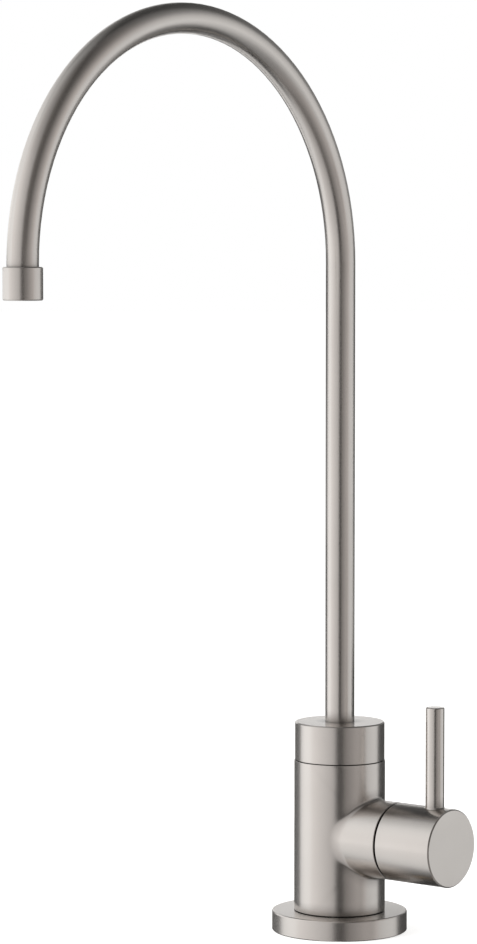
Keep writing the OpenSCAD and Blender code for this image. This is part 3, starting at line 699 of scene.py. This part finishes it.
def upper_tent():
    """Panels over eye level, which light the gooseneck and the tops of flange, collar and stub."""
    row(LEFT_BACK_END, low=EYE, panels=[
        ("left_over", LEFT_SILK_START, (0.86, 0.93), LEFT_FADE),
        ("left_silk_over", -6, (0.88, 0.42), LEFT_FADE, LEFT_SILK),
        ("lens_flag_over", 28, (0.15, 0.09), FLAT, LENS_CARD),
        ("right_silk_over", 92, (0.17, 0.64), RIGHT_FADE, RIGHT_SILK),
        ("right_panel_over", 122, (0.65, 0.61), SIDE_FADE),
        ("right_flag_over", RIGHT_BACK_START, (0.29, 0.22), SIDE_FADE)])
    panel("back_white_over", (RIGHT_BACK_START, BEHIND), (0.50, 0.58), BACK_FADE, low=BACK_EDGE)
    panel("left_back", (-BEHIND, LEFT_BACK_END), (0.50, 0.90), FLAT, low=BACK_EDGE, high=BACK_TOP)
    panel("left_back_high", (-BEHIND, LEFT_BACK_END), (0.08, 0.85), HIGH_FADE, low=BACK_TOP)


def lower_tent():
    """Panels under eye level: soft silks in front, dark flags at both sides, and white left open between."""
    panel("left_flag", (-177, LEFT_FLAG_END), (0.09, 0.15), FLAT, low=LEFT_FLAG_FOOT, high=EYE)
    panel("left_under", (-BEHIND, LEFT_FLAG_END), (0.88, 0.98), LEFT_FADE, high=LEFT_FLAG_FOOT)
    row(LEFT_FLAG_END, high=LOW_EDGE, panels=[
        ("left_edge_under", -102, (0.76, 1.0), LEFT_FADE),
        ("left_white_under", LEFT_SILK_START, (1.0, 1.0), LEFT_FADE)])
    row(LEFT_SILK_START, high=EYE, panels=[
        ("left_silk", -10, (0.89, 0.50), LEFT_FADE, LEFT_SILK),
        ("lens_flag", 9, (0.19, 0.15), LENS_FADE, LENS_CARD),
        ("right_silk", RIGHT_SILK_END, (0.22, 0.58), RIGHT_FADE, RIGHT_SILK)])
    panel("right_streak", (51, 62), (0.24, 0.30), FLAT, RIGHT_SILK, low=-15, high=-6.5, around=INNER_TENT)
    row(RIGHT_SILK_END, low=LOW_EDGE, high=EYE, panels=[
        ("right_panel", 123, (0.67, 0.67), SIDE_FADE),
        ("right_flag", 170, (0.07, 0.07), FLAT)])
    panel("right_panel_under", (RIGHT_SILK_END, RIGHT_FLAG_START), (0.59, 0.79), SIDE_FADE, high=LOW_EDGE)
    row(RIGHT_FLAG_START, low=RIGHT_FLAG_FOOT, high=LOW_EDGE, panels=[
        ("right_flag_low", 145, (0.62, 0.20), FLAT),
        ("right_flag_back", RIGHT_FLAG_END, (0.20, 0.07), FLAT)])
    panel("right_flag_under", (RIGHT_FLAG_START, RIGHT_BACK_START), (0.32, 0.06), FLAG_UNDER_FADE,
          high=RIGHT_FLAG_FOOT)
    panel("back_white_under", (RIGHT_FLAG_END, BEHIND), (0.35, 0.60), BACK_FADE, high=-12)


def near_cards():
    """Small cards close to a piece, for reflections that would change its neighbours if they came from afar.
    Those by the hub keep its top and underside dark."""
    panel("body_right_flag", (RIGHT_FLAG_START, RIGHT_FLAG_END), (0.06, 0.07), FLAT, low=-26, high=6,
          around=BY_THE_BODY)
    row(BEHIND - 25, low=9, high=35, around=BY_THE_FOOT, panels=[
        ("foot_right_back", BEHIND, (0.44, 0.44), FLAT),
        ("foot_left_back", BEHIND + 25, (0.66, 0.62), FLAT)])
    panel("outlet_left_card", (-178, -116), (0.88, 0.92), FLAT, low=-14, high=3, around=BY_THE_OUTLET)
    row(-BEHIND, low=24, high=66, around=BY_THE_HUB, panels=[
        ("hub_back_over", -150, (0.09, 0.05), HUB_OVER_FADE),
        ("hub_left_over", -116, (0.05, 0.42), HUB_OVER_FADE)])
    row(-BEHIND, low=-66, high=-24, around=BY_THE_HUB, panels=[
        ("hub_back_under", -150, (0.03, 0.06), HUB_UNDER_FADE),
        ("hub_left_under", -120, (0.05, 0.14), HUB_UNDER_FADE),
        ("hub_edge_under", -90, (0.14, 0.44), HUB_UNDER_FADE)])


def lamp(name, at, watts):
    """A soft square lamp, kept out of the metal, where the panels are what shows."""
    light = bpy.data.lights.new(name, "AREA")
    light.energy = watts
    light.size = LAMP_SIZE
    piece = bpy.data.objects.new(name, light)
    piece.location = at
    piece.rotation_euler = (LAMP_AIM - Vector(at)).to_track_quat("-Z", "Y").to_euler()
    piece.visible_glossy = False
    scene.collection.objects.link(piece)


def photo_camera():
    """Camera at the photograph's place and angle."""
    camera_data = bpy.data.cameras.new("photo_camera")
    camera_data.sensor_fit = "VERTICAL"
    camera_data.sensor_height = SENSOR_MM
    camera_data.lens = FOCAL_PX * SENSOR_MM / PHOTO_HEIGHT_PX
    camera = bpy.data.objects.new("photo_camera", camera_data)
    camera.location = CAMERA_AT
    camera.rotation_euler = CAMERA_LOOK.to_track_quat("-Z", "Y").to_euler()
    scene.collection.objects.link(camera)
    scene.camera = camera


studio_world()
pale_floor()
upper_tent()
lower_tent()
near_cards()
lamp("key", at=(-0.6, -1.2, 1.6), watts=14)
lamp("fill", at=(1.6, 0.2, 1.2), watts=6)
photo_camera()
